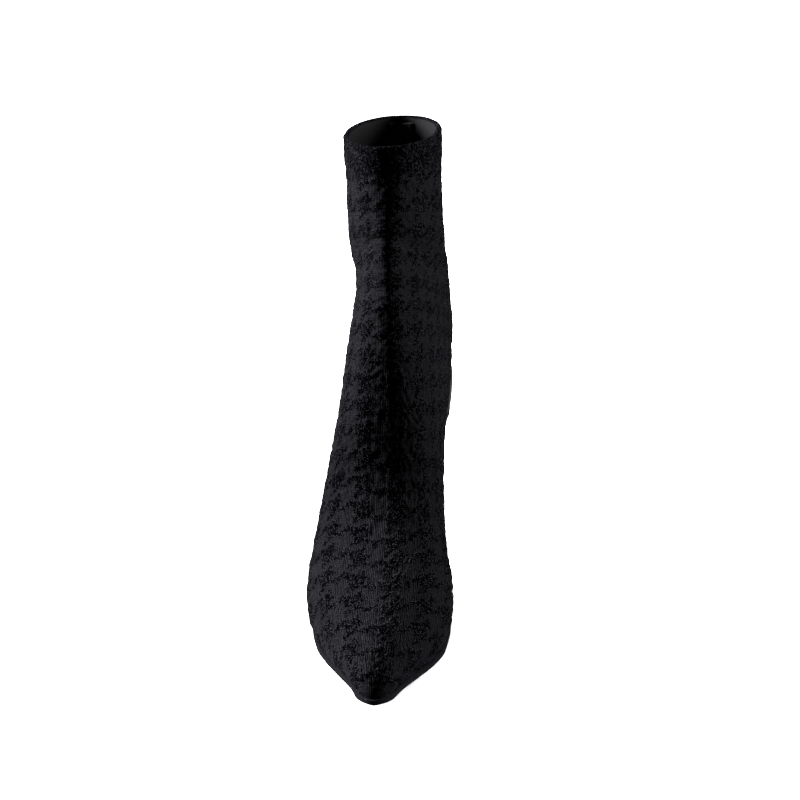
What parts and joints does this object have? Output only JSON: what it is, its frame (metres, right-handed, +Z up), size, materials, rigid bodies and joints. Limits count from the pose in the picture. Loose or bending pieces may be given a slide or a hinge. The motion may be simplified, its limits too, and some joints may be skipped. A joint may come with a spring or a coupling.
{
  "type": "sock boot",
  "caption": "Knitted sock boot for the right foot, with a pointed toe, a flared mid heel, a moulded sole and a plain cuff at the open collar.",
  "frame": {"origin": "middle of the heel's ground face, on the floor", "axes": "+Y from the toe towards the heel, +X towards the inner side of the foot, +Z up"},
  "size_m": [0.0704, 0.2559, 0.2157],
  "materials": {
    "knit": "black looped knit with a tone-on-tone check",
    "lining": "smooth black lining",
    "gloss": "gloss black",
    "tread": "matte black rubber",
    "tape": "dark grey woven tape"
  },
  "bodies": {
    "root": {"upper": "knit", "insole": "lining", "outsole": "gloss", "forepart": "tread", "heel": "gloss", "top_lift": "tread", "back_tape": "tape"}
  },
  "joints": []
}
